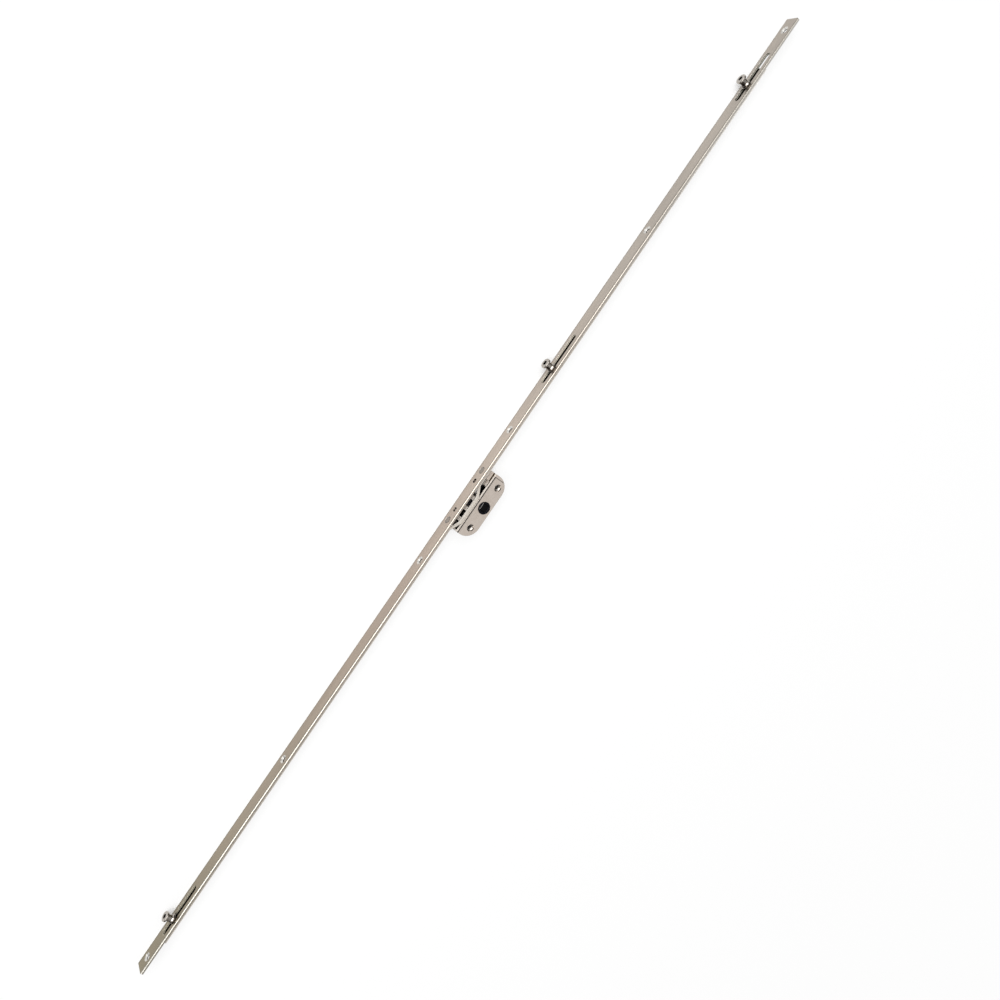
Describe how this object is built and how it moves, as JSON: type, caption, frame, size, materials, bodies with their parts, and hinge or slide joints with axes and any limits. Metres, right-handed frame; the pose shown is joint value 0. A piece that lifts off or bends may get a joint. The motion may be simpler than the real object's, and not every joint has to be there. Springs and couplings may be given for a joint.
{
  "type": "window espagnolette gearbox",
  "caption": "Long steel faceplate with a spindle-driven gear case behind it and a sliding rod that carries mushroom-headed locking cams.",
  "frame": {"origin": "on the spindle axis, halfway through the case", "axes": "+X along the faceplate to its upper end, +Y out of the front face, +Z along the spindle"},
  "size_m": [1.025, 0.0375, 0.016],
  "materials": {
    "faceplate_steel": "satin nickel-grey plating",
    "rod_steel": "dull zinc plating",
    "case_casting": "plated, finely grained casting",
    "blackened_steel": "satin black",
    "bright_steel": "bright plated",
    "cam_steel": "bright plated, slightly worn",
    "post_steel": "ground flush"
  },
  "bodies": {
    "case": {"faceplate": "faceplate_steel", "case_body": "case_casting", "case_cover": "case_casting", "lower_handle_bush": "bright_steel", "upper_handle_bush": "bright_steel", "lower_case_post": "post_steel", "upper_case_rivet": "post_steel"},
    "rod": {"drive_rod": "rod_steel", "lower_cam_seat": "bright_steel", "lower_cam_washer": "rod_steel", "middle_cam_seat": "bright_steel", "middle_cam_washer": "rod_steel", "upper_cam_seat": "bright_steel", "upper_cam_washer": "rod_steel"},
    "follower": {"follower": "blackened_steel"},
    "lower_cam": {"lower_mushroom_cam": "cam_steel"},
    "middle_cam": {"middle_mushroom_cam": "cam_steel"},
    "upper_cam": {"upper_mushroom_cam": "cam_steel"}
  },
  "joints": [
    {"name": "rod_slide", "type": "slide", "parent": "case", "child": "rod", "axis": [1, 0, 0], "range_m": [0, 0.018]},
    {"name": "follower_turn", "type": "hinge", "parent": "case", "child": "follower", "pos_m": [0, 0, 0], "axis": [0, 0, 1], "range_deg": [-90.01, 0]},
    {"name": "lower_cam_turn", "type": "hinge", "parent": "rod", "child": "lower_cam", "pos_m": [-0.4585, 0.0207, 0], "axis": [0, 1, 0], "continuous": true},
    {"name": "middle_cam_turn", "type": "hinge", "parent": "rod", "child": "middle_cam", "pos_m": [0.1365, 0.0207, 0], "axis": [0, 1, 0], "continuous": true},
    {"name": "upper_cam_turn", "type": "hinge", "parent": "rod", "child": "upper_cam", "pos_m": [0.4405, 0.0207, 0], "axis": [0, 1, 0], "continuous": true}
  ],
  "couplings": [
    {"joint": "follower_turn", "follows": "rod_slide", "rad_per_m": -87.266}
  ]
}
